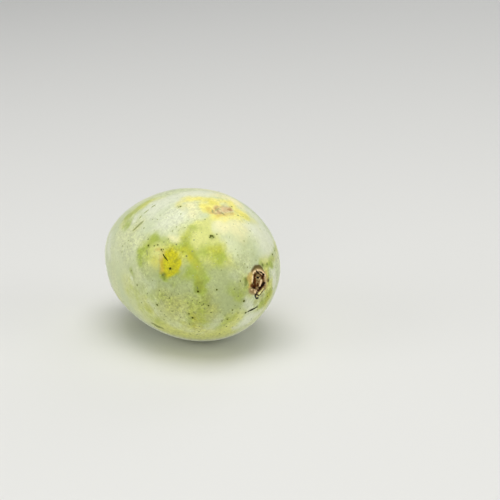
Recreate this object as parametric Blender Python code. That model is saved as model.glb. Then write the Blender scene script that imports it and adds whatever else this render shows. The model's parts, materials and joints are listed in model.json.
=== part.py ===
"""A whole green mango, picked and lying on its flat cheek.

The fruit grew as one piece, so it is one solid. Its skin is a ball whose every point is moved out to
the fruit's own surface by formula: first a long oval that is fuller at the stem and bowed towards the
back, then the beak, the hollow above it, the shoulder, and the corky scar that the stem left.

Fruit axes while it is shaped: +X towards the stem, +Y towards the back, +Z out of the upper cheek.
Row axes when it is done: +X along the fruit towards the stem, +Z up, origin on the surface that it
lies on, under the middle of its box.
"""

import math

import bmesh
import bpy
from mathutils import Matrix, Vector
from mathutils.geometry import intersect_point_line

MM = 0.001

# The oval body
LENGTH = 116 * MM
WIDTH = 88 * MM
THICKNESS = 84.4 * MM
STEM_FULLNESS = 0.08
BACK_BOW = 5 * MM

# Slow swellings and hollows: direction from the fruit's middle, height, radius
BEAK = (Vector((-0.96, -0.26, 0.0)), 2.0 * MM, 10 * MM)
BEAK_HOLLOW = (Vector((-0.76, -0.65, 0.0)), -1.2 * MM, 15 * MM)
BACK_SHOULDER = (Vector((0.80, 0.60, 0.0)), 1.0 * MM, 20 * MM)
STEM_DIMPLE = (Vector((0.993, 0.115, -0.01)), -1.2 * MM, 12 * MM)
STYLE_DENT = (Vector((-0.965, -0.262, 0.0)), -0.7 * MM, 1.9 * MM)

# The scar of the stem: places across and up from its middle, and radii across and up
COLLAR_RADII = (5.3 * MM, 6.8 * MM)
COLLAR_HEIGHT = 0.8 * MM
COLLAR_BREADTH = 0.19
SOCKET_RADII = (4.4 * MM, 5.9 * MM)
SOCKET_DEPTH = 1.6 * MM
STUB_MIDDLE = (0.7 * MM, 0.7 * MM)
STUB_RADII = (2.8 * MM, 3.9 * MM)
STUB_HEIGHT = 1.4 * MM
PIT_MIDDLE = (0.1 * MM, 2.2 * MM)
PIT_RADIUS = 0.8 * MM
PIT_DEPTH = 0.9 * MM
TEAR_START = (4.5 * MM, -2.0 * MM)
TEAR_END = (-1.2 * MM, -8.0 * MM)
TEAR_RADIUS = 0.7 * MM
TEAR_DEPTH = 0.9 * MM
WALL_SOFTNESS = 0.14
SCAR_REACH = 12 * MM

# How it lies: the angles at which its lowest point is under its centre of mass
STEM_LIFT = math.radians(3.0)
CHEEK_ROLL = math.radians(10.0)
FLAT_DEPTH = 0.45 * MM

# The mesh: rings round the scar, then rings that spread over the cheeks and close up at the beak
SEGMENTS = 72
SCAR_RINGS = 18
BODY_RINGS = 34
SCAR_ANGLE = math.radians(13)
RING_CROWDING = 0.72

SKIN_COLOUR = (0.60, 0.66, 0.36, 1.0)
SKIN_ROUGHNESS = 0.55


def clear_scene():
    for old in list(bpy.data.objects):
        bpy.data.objects.remove(old, do_unlink=True)


def body_point(direction):
    """The point of the bare oval in that direction, and the way its surface faces there."""
    along, back, up = direction
    fullness = 1 + STEM_FULLNESS * along
    point = Vector(
        (
            LENGTH / 2 * along,
            WIDTH / 2 * back * fullness + BACK_BOW * (1 - along**2),
            THICKNESS / 2 * up * fullness,
        )
    )
    outward = Vector((along / LENGTH, back / WIDTH, up / THICKNESS)).normalized()
    return point, outward


def swelling(point, feature):
    """Height at this point of a smooth swelling, or of a hollow where its height is negative."""
    direction, height, radius = feature
    centre, _ = body_point(direction.normalized())
    return height * math.exp(-(((point - centre).length / radius) ** 2))


def share_of_oval(across, up, middle, radii):
    """How far a place on the scar is from an oval's middle: 1 is on the oval's edge."""
    return math.hypot((across - middle[0]) / radii[0], (up - middle[1]) / radii[1])


def inside(share):
    """1 inside an oval and 0 outside it, with a soft wall between."""
    return 0.5 - 0.5 * math.tanh((share - 1) / WALL_SOFTNESS)


def tear_depth(across, up):
    """The crack along which the stem tore away: a straight groove with round ends."""
    place, start, end = Vector((across, up)), Vector(TEAR_START), Vector(TEAR_END)
    nearest, share = intersect_point_line(place, start, end)
    if share < 0:
        nearest = start
    if share > 1:
        nearest = end
    return TEAR_DEPTH * math.exp(-(((place - nearest).length / TEAR_RADIUS) ** 2))


def scar_relief(point):
    """The scar: a raised corky collar, a socket inside it, the broken stub in that, and a tear."""
    centre, _ = body_point(STEM_DIMPLE[0].normalized())
    if (point - centre).length > SCAR_REACH:
        return 0.0
    offset = Matrix.Rotation(CHEEK_ROLL, 3, "X") @ (point - centre)
    across, up = offset.y, offset.z
    crest = share_of_oval(across, up, (0, 0), COLLAR_RADII)
    collar = COLLAR_HEIGHT * math.exp(-(((crest - 1) / COLLAR_BREADTH) ** 2))
    socket = SOCKET_DEPTH * inside(share_of_oval(across, up, (0, 0), SOCKET_RADII))
    stub = STUB_HEIGHT * inside(share_of_oval(across, up, STUB_MIDDLE, STUB_RADII))
    pit_share = share_of_oval(across, up, PIT_MIDDLE, (PIT_RADIUS, PIT_RADIUS))
    pit = PIT_DEPTH * math.exp(-(pit_share**2))
    return collar - socket + stub - pit - tear_depth(across, up)


def skin_point(direction):
    point, outward = body_point(direction)
    slow = (BEAK, BEAK_HOLLOW, BACK_SHOULDER, STEM_DIMPLE, STYLE_DENT)
    relief = sum(swelling(point, feature) for feature in slow)
    return point + outward * (relief + scar_relief(point))


def ring_angle(ring):
    """Angle from the scar of each ring of the ball: close rings on the scar and at the beak."""
    if ring <= SCAR_RINGS:
        return SCAR_ANGLE * ring / SCAR_RINGS
    share = (ring - SCAR_RINGS) / BODY_RINGS
    eased = share - RING_CROWDING * math.sin(2 * math.pi * share) / (2 * math.pi)
    return SCAR_ANGLE + (math.pi - SCAR_ANGLE) * eased


def shape_skin(mesh):
    """Turns a ball's pole to the scar, spaces its rings, and moves each point out to the skin."""
    rings = SCAR_RINGS + BODY_RINGS
    to_scar = Vector((0, 0, 1)).rotation_difference(STEM_DIMPLE[0].normalized())
    for vertex in mesh.verts:
        ring = round(vertex.co.angle(Vector((0, 0, 1))) / math.pi * rings)
        turn = math.atan2(vertex.co.y, vertex.co.x)
        angle = ring_angle(ring)
        ball = Vector(
            (math.sin(angle) * math.cos(turn), math.sin(angle) * math.sin(turn), math.cos(angle))
        )
        vertex.co = skin_point(to_scar @ ball)


def lay_down(mesh):
    """Turns the fruit to the way it lies, and cuts the small flat that it rests on."""
    rest = Matrix.Rotation(-STEM_LIFT, 4, "Y") @ Matrix.Rotation(CHEEK_ROLL, 4, "X")
    bmesh.ops.transform(mesh, matrix=rest, verts=mesh.verts)
    floor = min(vertex.co.z for vertex in mesh.verts) + FLAT_DEPTH
    cut = bmesh.ops.bisect_plane(
        mesh,
        geom=mesh.verts[:] + mesh.edges[:] + mesh.faces[:],
        plane_co=(0, 0, floor),
        plane_no=(0, 0, -1),
        clear_outer=True,
    )
    rim = [edge for edge in cut["geom_cut"] if isinstance(edge, bmesh.types.BMEdge)]
    bmesh.ops.contextual_create(mesh, geom=rim)
    lows = [min(vertex.co[axis] for vertex in mesh.verts) for axis in range(3)]
    highs = [max(vertex.co[axis] for vertex in mesh.verts) for axis in range(3)]
    foot = Vector(((lows[0] + highs[0]) / 2, (lows[1] + highs[1]) / 2, floor))
    bmesh.ops.translate(mesh, vec=-foot, verts=mesh.verts)


def skin_material():
    material = bpy.data.materials.new("waxy_green_skin")
    material.use_nodes = True
    shader = material.node_tree.nodes["Principled BSDF"]
    shader.inputs["Base Color"].default_value = SKIN_COLOUR
    shader.inputs["Roughness"].default_value = SKIN_ROUGHNESS
    shader.inputs["Metallic"].default_value = 0.0
    return material


def build_mango(collection):
    mesh = bmesh.new()
    bmesh.ops.create_uvsphere(
        mesh, u_segments=SEGMENTS, v_segments=SCAR_RINGS + BODY_RINGS, radius=1
    )
    shape_skin(mesh)
    lay_down(mesh)
    bmesh.ops.recalc_face_normals(mesh, faces=mesh.faces)
    data = bpy.data.meshes.new("mango")
    mesh.to_mesh(data)
    mesh.free()
    data.materials.append(skin_material())
    data.shade_smooth()
    mango = bpy.data.objects.new("mango", data)
    collection.objects.link(mango)
    return mango


def main():
    clear_scene()
    collection = bpy.data.collections.new("green_mango")
    bpy.context.scene.collection.children.link(collection)
    build_mango(collection)


main()
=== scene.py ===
# %% [markdown]
# # A green mango
# This lesson dresses one whole green mango, picked and lying on its flat cheek. The solid fruit is
# already built and packed: its length, its bow, its beak and its stem scar are all in the frame that the
# first cell loads. Here the fruit gets what the eye sees from close by: the torn corky scar, the pores,
# the whitish wax, and the green and yellow places where that wax has been rubbed away.

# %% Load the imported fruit
import json
import math
from typing import NamedTuple

import bpy
import numpy as np
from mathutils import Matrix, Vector
from mathutils.noise import noise_vector, seed_set

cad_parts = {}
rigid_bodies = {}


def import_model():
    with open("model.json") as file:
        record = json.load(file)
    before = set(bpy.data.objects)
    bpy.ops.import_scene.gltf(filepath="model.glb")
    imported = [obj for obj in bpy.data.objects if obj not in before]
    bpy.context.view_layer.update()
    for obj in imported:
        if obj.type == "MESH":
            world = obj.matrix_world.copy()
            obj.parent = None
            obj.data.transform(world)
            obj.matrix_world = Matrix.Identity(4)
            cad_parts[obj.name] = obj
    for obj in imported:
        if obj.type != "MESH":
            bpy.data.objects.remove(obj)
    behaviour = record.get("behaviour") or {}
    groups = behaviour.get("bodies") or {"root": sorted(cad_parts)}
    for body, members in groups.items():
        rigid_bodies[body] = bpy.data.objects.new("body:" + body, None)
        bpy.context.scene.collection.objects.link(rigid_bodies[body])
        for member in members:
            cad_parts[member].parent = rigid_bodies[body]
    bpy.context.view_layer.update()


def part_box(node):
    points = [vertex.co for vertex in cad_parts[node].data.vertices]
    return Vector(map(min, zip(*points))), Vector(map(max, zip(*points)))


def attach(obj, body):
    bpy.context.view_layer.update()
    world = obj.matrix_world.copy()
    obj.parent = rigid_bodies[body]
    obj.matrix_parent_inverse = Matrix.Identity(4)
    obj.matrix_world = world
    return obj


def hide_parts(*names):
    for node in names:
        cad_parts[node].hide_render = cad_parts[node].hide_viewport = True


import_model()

MM = 0.001
low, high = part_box("mango")
print("fruit, mm:", [round(side / MM, 1) for side in high - low])

# %% [markdown]
# ## The camera
# The fruit is seen from its stem end, a little from above, with a long lens that keeps its outline
# calm. The camera stands on a ring round the fruit's middle. It looks past the fruit, so that the fruit
# shows left of the picture's middle and just below it. A shift of the lens would do the same, but then
# every other view would be off centre too.

# %% Place the camera
IMAGE_SIDE = 500
FRUIT_PIXEL = (190.3, 261.1)
FRUIT_MIDDLE = Vector((0, 0, 42 * MM))
AZIMUTH = math.radians(51.3)
ELEVATION = math.radians(19.0)
DISTANCE = 0.9
SENSOR = 36.0
LENS = 113.8
PIXELS_PER_RADIAN = LENS / SENSOR * IMAGE_SIDE

def place_camera():
    data = bpy.data.cameras.new("camera")
    data.sensor_width = SENSOR
    data.lens = LENS
    camera = bpy.data.objects.new("camera", data)
    bpy.context.scene.collection.objects.link(camera)
    bpy.context.scene.camera = camera
    level = math.cos(ELEVATION)
    back = Vector((math.sin(AZIMUTH) * level, -math.cos(AZIMUTH) * level, math.sin(ELEVATION)))
    facing = (-back).to_track_quat("-Z", "Y")
    across = (IMAGE_SIDE / 2 - FRUIT_PIXEL[0]) / PIXELS_PER_RADIAN * DISTANCE
    up = (FRUIT_PIXEL[1] - IMAGE_SIDE / 2) / PIXELS_PER_RADIAN * DISTANCE
    picture_middle = FRUIT_MIDDLE + facing @ Vector((across, up, 0))
    camera.location = FRUIT_MIDDLE + back * DISTANCE
    looks = picture_middle - camera.location
    camera.rotation_euler = looks.to_track_quat("-Z", "Y").to_euler()
    bpy.context.view_layer.update()
    return camera

camera = place_camera()
print("camera stands at, m:", [round(c, 3) for c in camera.location])

# %% [markdown]
# ## Floor and lights
# The floor is a plain pale sheet, far wider than the fruit, and the lights are large and soft, as in a
# small studio: a wide lamp above, one in front beside the camera, weaker ones on the left and on the
# right, and the weakest behind. Large lamps give the wax its even, milky look and leave no hard shadow.

# %% Lay the floor and hang the lights
FLOOR_HALF_SIDE = 12.0
FLOOR_COLOUR = (0.78, 0.78, 0.76, 1.0)
FLOOR_ROUGHNESS = 0.9
WORLD_COLOUR = (0.95, 0.97, 1.0, 1.0)
WORLD_STRENGTH = 0.30

class Lamp(NamedTuple):
    """A square lamp: where it hangs and how wide it is, in metres, its power in watts, its colour."""

    name: str
    place: tuple
    side: float
    power: float
    colour: tuple

LAMPS = (
    Lamp("top", (0.10, -0.10, 1.50), 1.20, 14.5, (1.0, 0.985, 0.95)),
    Lamp("front", (1.15, -1.15, 0.48), 1.00, 6.8, (1.0, 0.99, 0.96)),
    Lamp("left", (-0.55, -1.45, 0.70), 0.90, 4.0, (0.97, 0.99, 1.0)),
    Lamp("right", (1.35, 0.75, 0.70), 0.90, 4.2, (1.0, 1.0, 0.97)),
    Lamp("behind", (-0.60, 1.40, 0.90), 0.90, 2.4, (1.0, 1.0, 1.0)),
)

def lay_floor():
    mesh = bpy.data.meshes.new("floor")
    corners = [(-1, -1), (1, -1), (1, 1), (-1, 1)]
    places = [(x * FLOOR_HALF_SIDE, y * FLOOR_HALF_SIDE, 0) for x, y in corners]
    mesh.from_pydata(places, [], [(0, 1, 2, 3)])
    floor = bpy.data.objects.new("floor", mesh)
    bpy.context.scene.collection.objects.link(floor)
    material = bpy.data.materials.new("pale floor")
    material.use_nodes = True
    shader = material.node_tree.nodes["Principled BSDF"]
    shader.inputs["Base Color"].default_value = FLOOR_COLOUR
    shader.inputs["Roughness"].default_value = FLOOR_ROUGHNESS
    mesh.materials.append(material)

def hang_lamp(lamp):
    data = bpy.data.lights.new(lamp.name, "AREA")
    data.size = lamp.side
    data.energy = lamp.power
    data.color = lamp.colour
    hung = bpy.data.objects.new(lamp.name, data)
    hung.location = lamp.place
    hung.rotation_euler = (FRUIT_MIDDLE - hung.location).to_track_quat("-Z", "Y").to_euler()
    bpy.context.scene.collection.objects.link(hung)

def light_world():
    world = bpy.data.worlds.new("studio")
    world.use_nodes = True
    background = world.node_tree.nodes["Background"]
    background.inputs["Color"].default_value = WORLD_COLOUR
    background.inputs["Strength"].default_value = WORLD_STRENGTH
    bpy.context.scene.world = world

lay_floor()
light_world()
for lamp in LAMPS:
    hang_lamp(lamp)
bpy.context.scene.view_settings.view_transform = "Standard"
print(len(LAMPS), "lamps")

# %% [markdown]
# ## Writing nodes as sums
# A node tree is maths drawn with boxes. A tree for a whole fruit would be hundreds of boxes, so here
# they are written as sums instead. `Wire` holds the end of one link. Python's own signs are taught to
# add the Math node that does the same thing, on either side of the sign, so `1 - mask` works too. Every
# other node comes from `add_node`, which first makes the settings and then fills the sockets.

# %% Teach Python to write nodes
def add_node(tree, kind, settings=None, sockets=None, output=0):
    """Adds a node: its settings first, then the values or links of its sockets."""
    node = tree.nodes.new(kind)
    for name, value in (settings or {}).items():
        setattr(node, name, value)
    for name, value in (sockets or {}).items():
        if isinstance(value, Wire):
            tree.links.new(value.socket, node.inputs[name])
        else:
            node.inputs[name].default_value = value
    return Wire(tree, node.outputs[output])

class Wire:
    """The end of a link in a node tree. Sums on it add nodes."""

    def __init__(self, tree, socket):
        self.tree = tree
        self.socket = socket

    def output(self, name):
        return Wire(self.tree, self.socket.node.outputs[name])

    def is_vector(self):
        return self.socket.type in {"VECTOR", "RGBA"}

    def maths(self, operation, *parts):
        sockets = dict(enumerate(parts))
        return add_node(self.tree, "ShaderNodeMath", {"operation": operation}, sockets)

    def vector_maths(self, operation, *parts, output=0):
        sockets = dict(enumerate(parts))
        return add_node(self.tree, "ShaderNodeVectorMath", {"operation": operation}, sockets, output)

    def either(self, operation, first, second):
        vectors = [isinstance(part, Wire) and part.is_vector() for part in (first, second)]
        if any(vectors) or isinstance(first, Vector) or isinstance(second, Vector):
            return self.vector_maths(operation, first, second)
        return self.maths(operation, first, second)

    def scaled(self, factor):
        sockets = {0: self, "Scale": factor}
        return add_node(self.tree, "ShaderNodeVectorMath", {"operation": "SCALE"}, sockets)

    def __add__(self, other):
        return self.either("ADD", self, other)

    def __radd__(self, other):
        return self.either("ADD", other, self)

    def __sub__(self, other):
        return self.either("SUBTRACT", self, other)

    def __rsub__(self, other):
        return self.either("SUBTRACT", other, self)

    def __mul__(self, other):
        one_number = isinstance(other, (int, float))
        one_wire = isinstance(other, Wire) and not other.is_vector()
        if self.is_vector() and (one_number or one_wire):
            return self.scaled(other)
        if isinstance(other, Wire) and other.is_vector() and not self.is_vector():
            return other * self
        return self.either("MULTIPLY", self, other)

    def __rmul__(self, other):
        return self * other

    def __truediv__(self, other):
        if self.is_vector() and isinstance(other, (int, float)):
            return self * (1 / other)
        return self.either("DIVIDE", self, other)

    def __rtruediv__(self, other):
        return self.either("DIVIDE", other, self)

    def __pow__(self, power):
        return self.maths("POWER", self, power)

    def __neg__(self):
        return self * -1

    def bell(self):
        """1 at 0, and falling smoothly to nothing past 2."""
        squared = self * self
        return squared.maths("EXPONENT", -squared)

    def wave(self):
        return self.maths("SINE", self)

    def at_least(self, other):
        return self.maths("MAXIMUM", self, other)

    def at_most(self, other):
        return self.maths("MINIMUM", self, other)

    def length(self):
        return self.vector_maths("LENGTH", self, output="Value")

    def parts(self):
        split = add_node(self.tree, "ShaderNodeSeparateXYZ", sockets={0: self})
        return [split.output(axis) for axis in "XYZ"]

    def rise(self, start, end, bottom=0.0, top=1.0):
        """From bottom to top as this goes from start to end, easing in and out."""
        sockets = {"Value": self, "From Min": start, "From Max": end, "To Min": bottom, "To Max": top}
        return add_node(self.tree, "ShaderNodeMapRange", {"interpolation_type": "SMOOTHSTEP"}, sockets)

    def mixed(self, share, other):
        """This colour, with a share of another."""
        sockets = {0: share, 6: self, 7: other}
        return add_node(self.tree, "ShaderNodeMix", {"data_type": "RGBA"}, sockets, 2)

def pack(tree, x, y, z):
    return add_node(tree, "ShaderNodeCombineXYZ", sockets={0: x, 1: y, 2: z})

def noise(tree, place, per_unit, detail=2.0, roughness=0.5, output=0):
    """Cloudy numbers from 0 to 1, or a colour of three of them from output 1."""
    sockets = {"Vector": place, "Scale": per_unit, "Detail": detail, "Roughness": roughness}
    return add_node(tree, "ShaderNodeTexNoise", None, sockets, output)

print("nodes can be written as sums")

# %% [markdown]
# ## Trees that make meshes
# Geometry Nodes make every piece of this fruit, and their trees begin and end in the same way. Each one
# has named inputs for its sizes. Each one ends by making its copies real, shading them smooth and giving
# them their material. A named number that a tree keeps on the points can be read by another tree, and
# by a material. Plain Python could place every point as well, but nodes do it far faster.

# %% Begin and end a tree
def add_inputs(tree, numbers, counts):
    for kind, values in (("NodeSocketFloat", numbers), ("NodeSocketInt", counts)):
        for name, value in values.items():
            socket = tree.interface.new_socket(name, in_out="INPUT", socket_type=kind)
            socket.default_value = value

def begin_tree(name, ways, numbers, counts):
    """A tree with a mesh socket for each way, in or out, and the node that holds its inputs."""
    tree = bpy.data.node_groups.new(name, "GeometryNodeTree")
    for way in ways:
        tree.interface.new_socket("Geometry", in_out=way, socket_type="NodeSocketGeometry")
    add_inputs(tree, numbers, counts)
    return tree, add_node(tree, "NodeGroupInput")

def end_tree(tree, geometry, material):
    real = add_node(tree, "GeometryNodeRealizeInstances", None, {"Geometry": geometry})
    smooth = add_node(tree, "GeometryNodeSetShadeSmooth", None, {"Geometry": real})
    sockets = {"Geometry": smooth, "Material": material}
    dressed = add_node(tree, "GeometryNodeSetMaterial", None, sockets)
    output = tree.nodes.new("NodeGroupOutput")
    tree.links.new(dressed.socket, output.inputs[0])

def position(tree):
    return add_node(tree, "GeometryNodeInputPosition")

def move(tree, geometry, place):
    return add_node(tree, "GeometryNodeSetPosition", None, {"Geometry": geometry, "Position": place})

def turn(tree, place, axis, angle):
    sockets = {"Vector": place, "Axis": axis, "Angle": angle}
    return add_node(tree, "ShaderNodeVectorRotate", {"rotation_type": "AXIS_ANGLE"}, sockets)

def keep(tree, geometry, name, value):
    """Stores a number on every point of the mesh under a name that a material can read."""
    sockets = {"Geometry": geometry, "Name": name, "Value": value}
    settings = {"data_type": "FLOAT", "domain": "POINT"}
    return add_node(tree, "GeometryNodeStoreNamedAttribute", settings, sockets)

def named(tree, name, kind="FLOAT"):
    """Reads a number that was stored on the points."""
    return add_node(tree, "GeometryNodeInputNamedAttribute", {"data_type": kind}, {"Name": name})

print("trees can be begun and ended")

# %% [markdown]
# ## From a tree to a plain mesh
# A modifier runs the tree, but its result is only there while the modifier is, and it can't be painted.
# So the result is read off once, as a plain mesh that can be painted, and the modifier is
# taken away. Its inputs are set by their identifiers, because a modifier doesn't know them by name.

# %% Turn a tree into a plain mesh
def grow(name, tree, values, start=None):
    """Runs a tree on a mesh and keeps the result as a plain mesh at the origin."""
    piece = bpy.data.objects.new(name, start or bpy.data.meshes.new(name))
    bpy.context.scene.collection.objects.link(piece)
    modifier = piece.modifiers.new("form", "NODES")
    modifier.node_group = tree
    for socket in tree.interface.items_tree:
        if socket.in_out == "INPUT" and socket.name in values:
            modifier[socket.identifier] = values[socket.name]
    seen = piece.evaluated_get(bpy.context.evaluated_depsgraph_get())
    mesh = bpy.data.meshes.new_from_object(seen)
    piece.modifiers.remove(modifier)
    piece.data = mesh
    mesh.name = name
    print(name, "faces:", len(mesh.polygons))
    return piece

# %% [markdown]
# ## The form of the fruit
# On the real fruit a flat stone gives the cheeks their shape, the stem end is fuller, the back bows and
# the belly ends in a beak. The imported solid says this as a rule: a ball whose points move out by
# formula. Geometry Nodes can follow the same rule on a far finer ball, so the dressed skin lies where
# the solid lies, and has rings close enough together to carry the torn scar. Sculpting would be quicker
# to start with, but no one could change the fruit's length afterwards.

# %% Sizes of the fruit
SIZES = {
    "Length": 116 * MM,
    "Width": 88 * MM,
    "Thickness": 84.4 * MM,
    "Stem Fullness": 0.08,
    "Back Bow": 5 * MM,
    "Stem Lift": math.radians(3.0),
    "Cheek Roll": math.radians(10.0),
    "Flat Depth": 0.45 * MM,
    "Scar Angle": math.radians(13.0),
    "Scar Ring Share": 0.30,
    "Ring Crowding": 0.20,
    "Seed": 4.0,
}
COUNTS = {"Segments": 360, "Rings": 260}
SCAR_TOWARDS = Vector((0.993, 0.115, -0.01)).normalized()
BEAK_TOWARDS = Vector((-0.96, -0.26, 0.0)).normalized()
BELLY_TOWARDS = Vector((-0.76, -0.65, 0.0)).normalized()
SHOULDER_TOWARDS = Vector((0.80, 0.60, 0.0)).normalized()
STYLE_TOWARDS = Vector((-0.965, -0.262, 0.0)).normalized()

class Swelling(NamedTuple):
    """A slow swelling of the body, or a hollow where its height is negative."""

    name: str
    towards: Vector
    height: float
    radius: float

SWELLINGS = (
    Swelling("beak", BEAK_TOWARDS, 2.0 * MM, 10 * MM),
    Swelling("hollow over the beak", BELLY_TOWARDS, -1.2 * MM, 15 * MM),
    Swelling("shoulder of the back", SHOULDER_TOWARDS, 1.0 * MM, 20 * MM),
    Swelling("dimple at the stem", SCAR_TOWARDS, -1.2 * MM, 12 * MM),
    Swelling("dent of the style", STYLE_TOWARDS, -0.7 * MM, 1.9 * MM),
)
SWELL_NOISE = (0.045, 2.0)
SWELL_HEIGHT = 0.9 * MM
RIPPLE_NOISE = (0.22, 1.0)
RIPPLE_HEIGHT = 0.10 * MM
print("swellings and hollows:", len(SWELLINGS))

# %% [markdown]
# ## Rules of the form
# The first rule gives the bare oval, and the way it faces at each point, which is the way that every
# swelling pushes. The second spaces the rings of the ball. A ball's rings are evenly spaced, which would
# leave too few on the scar: almost a third of them go there, though it is a fourteenth of the way. More
# rings everywhere would do it too, but with four times the faces.

# %% Write the rules of the body
def body_point(tree, direction, size):
    """The bare oval's point in a direction, given as three numbers or wires, and the way it faces."""
    along, back, up = direction
    fullness = 1 + size["Stem Fullness"] * along
    bow = size["Back Bow"] * (1 - along**2)
    x = size["Length"] * 0.5 * along
    y = size["Width"] * 0.5 * back * fullness + bow
    z = size["Thickness"] * 0.5 * up * fullness
    faces = pack(tree, along / size["Length"], back / size["Width"], up / size["Thickness"])
    return pack(tree, x, y, z), faces.vector_maths("NORMALIZE", faces)

def ring_angle(ring_share, size):
    """Angle from the scar of each ring: close rings over the scar, then wider ones to the beak."""
    scar_share, scar_angle = size["Scar Ring Share"], size["Scar Angle"]
    on_scar = (ring_share / scar_share).at_most(1.0) * scar_angle
    past = ((ring_share - scar_share) / (1 - scar_share)).at_least(0.0)
    wave = (past * (2 * math.pi)).wave()
    eased = past - size["Ring Crowding"] * wave * (1 / (2 * math.pi))
    return on_scar + (math.pi - scar_angle) * eased

def ball_direction(tree, size):
    """The direction of each point of the ball, with its pole turned to the scar."""
    x, y, z = position(tree).parts()
    around = y.maths("ARCTAN2", y, x)
    angle = ring_angle(z.maths("ARCCOSINE", z) / math.pi, size)
    sine = angle.wave()
    across, back = sine * around.maths("COSINE", around), sine * around.wave()
    on_ball = pack(tree, across, back, angle.maths("COSINE", angle))
    to_scar = Vector((0, 0, 1)).rotation_difference(SCAR_TOWARDS)
    return turn(tree, on_ball, to_scar.axis, to_scar.angle).parts()

def swollen(tree, point, size):
    """How far the slow swellings and hollows push a point of the oval out."""
    relief = 0.0
    for swelling in SWELLINGS:
        centre, _ = body_point(tree, swelling.towards, size)
        near = ((point - centre).length() / swelling.radius).bell()
        relief = relief + near * swelling.height
    return relief

# %% [markdown]
# ## The stem scar
# The stem tore off and left a corky collar, a socket inside it, and a broken stub in the socket. Cracks
# run round the stub, and one long tear runs out of the collar and ends in a hook. Ovals make the
# collar, the socket and the stub. Each crack and ridge is a short curve, and Geometry Proximity tells
# every point of the skin how far from that curve it is. The same distances are also kept on the points,
# as masks of the cracks and the ridges.

# %% Sizes of the scar
SCAR_MIDDLE = (1.0, 0.6)
COLLAR_RADII = (5.3, 6.8)
COLLAR_HEIGHT = 0.8
COLLAR_BREADTH = 0.19
SOCKET_RADII = (4.4, 5.9)
SOCKET_DEPTH = 1.6
SOCKET_WALL = (1.12, 0.88)
STUB_MIDDLE = (1.5, 1.3)
STUB_RADII = (2.8, 3.9)
STUB_HEIGHT = 1.4
STUB_WALL = (1.12, 0.86)
STUB_RINGS = 21
STUB_RING_HEIGHT = 0.07
STUB_RINGS_FADE = (1.0, 0.85)
PIT_MIDDLE = (0.9, 3.1)
PIT_RADII = (0.62, 0.62)
PIT_DEPTH = 0.9
CORK_EDGE = (1.45, 1.02)
CRUMB_NOISE = (1.6, 3.0, 0.6)
CRUMB_HEIGHT = 0.45
WAVER_NOISE = (0.45, 1.0)
OVAL_WAVER = 0.9
LINE_WAVER = 0.35
SCAR_FADE = (12.6 * MM, 10.8 * MM)

class Line(NamedTuple):
    """A crack or a ridge on the scar, in mm: its four control points, half width, and height."""

    name: str
    points: tuple
    radius: float
    height: float

SCAR_LINES = (
    Line("tear", ((5.3, -1.2), (4.4, -2.4), (2.6, -4.3), (0.9, -5.5)), 0.60, -1.3),
    Line("end of the tear", ((0.9, -5.5), (0.2, -6.2), (-1.0, -6.6), (-1.1, -7.5)), 0.34, -0.6),
    Line("hook", ((-1.1, -7.5), (-1.2, -8.6), (-0.3, -8.9), (0.5, -8.4)), 0.34, -0.5),
    Line("lip beside the tear", ((5.6, -2.6), (4.6, -3.8), (2.9, -5.3), (1.2, -6.4)), 0.55, 0.75),
    Line("ridge on the stub", ((4.0, 0.7), (2.9, -0.8), (1.9, -2.2), (1.4, -4.2)), 0.45, 0.7),
    Line("crack over the stub", ((-0.5, 7.1), (0.9, 5.9), (3.4, 4.8), (4.3, 2.4)), 0.34, -0.8),
    Line("outer crack", ((2.6, 6.0), (3.4, 5.3), (4.3, 4.6), (5.2, 3.7)), 0.28, -0.7),
    Line("ridge between the cracks", ((0.4, 6.9), (2.3, 5.8), (4.0, 4.6), (5.4, 3.1)), 0.26, 0.35),
    Line("crescent", ((-1.7, 6.3), (-2.8, 5.2), (-2.6, 3.2), (-2.3, 1.6)), 0.55, -0.8),
    Line("deep pocket", ((-2.6, 0.4), (-3.1, -1.6), (-2.4, -2.8), (-1.1, -2.4)), 0.95, -1.2),
    Line("crack in the stub", ((0.6, -0.3), (0.7, -0.9), (0.9, -1.5), (1.3, -2.0)), 0.4, -0.6),
    Line("callus", ((-4.8, -3.6), (-3.6, -4.4), (-1.8, -4.9), (0.3, -5.0)), 1.1, 0.5),
)
print("cracks and ridges:", len(SCAR_LINES))

# %% [markdown]
# ## Relief of the scar
# An oval is a distance, too: its share is 1 on its edge, less inside and more outside. A bell of that
# share makes a rim, and an eased step makes a wall. A little noise is added to the place before the
# shares are taken, so the rims waver as torn cork does. A height picture could be wrapped over the scar
# instead, but these rules can be stretched to another scar by changing a few sizes.

# %% Write the rules of the scar
def share_of_oval(across, up, middle, radii):
    """How far a place on the scar is from an oval's middle: 1 is on the oval's edge."""
    wide = (across - middle[0]) / radii[0]
    tall = (up - middle[1]) / radii[1]
    return (wide * wide + tall * tall) ** 0.5

def distance_to(tree, place, line):
    """How far a place on the scar is from a curve, in mm."""
    names = ("Start", "Start Handle", "End Handle", "End")
    points = {name: (x, y, 0.0) for name, (x, y) in zip(names, line.points)}
    curve = add_node(tree, "GeometryNodeCurvePrimitiveBezierSegment", {"mode": "POSITION"}, points)
    edges = add_node(tree, "GeometryNodeCurveToMesh", None, {0: curve})
    near = {"Geometry": edges, "Sample Position": place}
    return add_node(tree, "GeometryNodeProximity", {"target_element": "EDGES"}, near, "Distance")

def torn_lines(tree, place):
    """The height that the cracks and ridges add, and a mask of 0 to 1 for each of the two."""
    height, crack, ridge = 0.0, 0.0, 0.0
    for line in SCAR_LINES:
        near = (distance_to(tree, place, line) / line.radius).bell()
        height = height + near * line.height
        if line.height < 0:
            crack = near.at_least(crack)
        else:
            ridge = near.at_least(ridge)
    return height, crack, ridge

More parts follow.
